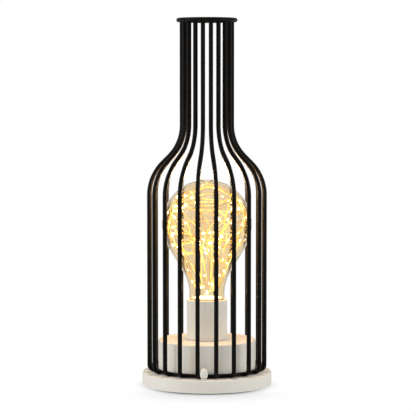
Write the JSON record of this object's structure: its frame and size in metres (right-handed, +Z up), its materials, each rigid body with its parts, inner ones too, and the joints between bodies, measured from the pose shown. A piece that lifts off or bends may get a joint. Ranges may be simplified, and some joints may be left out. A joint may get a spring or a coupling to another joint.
{
  "type": "bottle-shaped wire lamp",
  "caption": "Battery table lamp: black wire cage shaped like a bottle round a clear globe bulb with a wound light string, on a white round base with a drum and socket.",
  "frame": {"origin": "on the floor under the lamp's axis, at the underside of the foot pads", "axes": "+Z up along the lamp's axis, front with the acorn-shaped screw towards -Y"},
  "size_m": [0.1154, 0.1154, 0.3261],
  "materials": {
    "black_coated_steel": "satin powder coat",
    "white_abs": "matte moulded",
    "clear_polycarbonate": "clear, glossy",
    "lit_copper_string": "enamelled wire with lit drops",
    "cell_jacket": "shrunk film",
    "nickel_spring_steel": "nickel plated",
    "zinc_steel": "zinc plated",
    "circuit_laminate": "lacquered",
    "black_abs": "moulded",
    "foam_pad": "foam"
  },
  "bodies": {
    "lamp": {"cage_wire_01": "black_coated_steel", "cage_wire_02": "black_coated_steel", "cage_wire_03": "black_coated_steel", "cage_wire_04": "black_coated_steel", "cage_wire_05": "black_coated_steel", "cage_wire_06": "black_coated_steel", "cage_wire_07": "black_coated_steel", "cage_wire_08": "black_coated_steel", "cage_wire_09": "black_coated_steel", "cage_wire_10": "black_coated_steel", "cage_wire_11": "black_coated_steel", "cage_wire_12": "black_coated_steel", "cage_wire_13": "black_coated_steel", "cage_wire_14": "black_coated_steel", "cage_wire_15": "black_coated_steel", "cage_wire_16": "black_coated_steel", "cage_wire_17": "black_coated_steel", "cage_wire_18": "black_coated_steel", "cage_wire_19": "black_coated_steel", "cage_wire_20": "black_coated_steel", "cage_top_ring": "black_coated_steel", "cage_lower_ring": "black_coated_steel", "base_shell": "white_abs", "battery_housing": "white_abs", "bottom_cover": "white_abs", "lamp_socket": "white_abs", "socket_nut": "white_abs", "bulb_plug": "white_abs", "cage_clip_front": "white_abs", "cage_clip_back": "white_abs", "clip_screw_front": "white_abs", "clip_screw_back": "white_abs", "bulb_globe": "clear_polycarbonate", "light_string": "lit_copper_string", "battery_1": "cell_jacket", "battery_2": "cell_jacket", "battery_3": "cell_jacket", "contact_positive": "nickel_spring_steel", "contact_negative": "nickel_spring_steel", "contact_bridge_1": "nickel_spring_steel", "contact_bridge_2": "nickel_spring_steel", "housing_screw_1": "zinc_steel", "housing_screw_2": "zinc_steel", "housing_screw_3": "zinc_steel", "housing_screw_4": "zinc_steel", "cover_screw_1": "zinc_steel", "cover_screw_2": "zinc_steel", "cover_screw_3": "zinc_steel", "cover_screw_4": "zinc_steel", "door_hinge_pin": "zinc_steel", "circuit_board": "circuit_laminate", "battery_tray": "black_abs", "switch_body": "black_abs", "foot_pad_1": "foam_pad", "foot_pad_2": "foam_pad", "foot_pad_3": "foam_pad", "foot_pad_4": "foam_pad"},
    "door": {"battery_door": "white_abs"},
    "knob": {"switch_knob": "black_abs"}
  },
  "joints": [
    {"name": "door_swing", "type": "hinge", "parent": "lamp", "child": "door", "pos_m": [0, 0.033, 0.0023], "axis": [1, 0, 0], "range_deg": [0, 95]},
    {"name": "switch_slide", "type": "slide", "parent": "lamp", "child": "knob", "axis": [0, 1, 0], "range_m": [0, 0.004]}
  ]
}
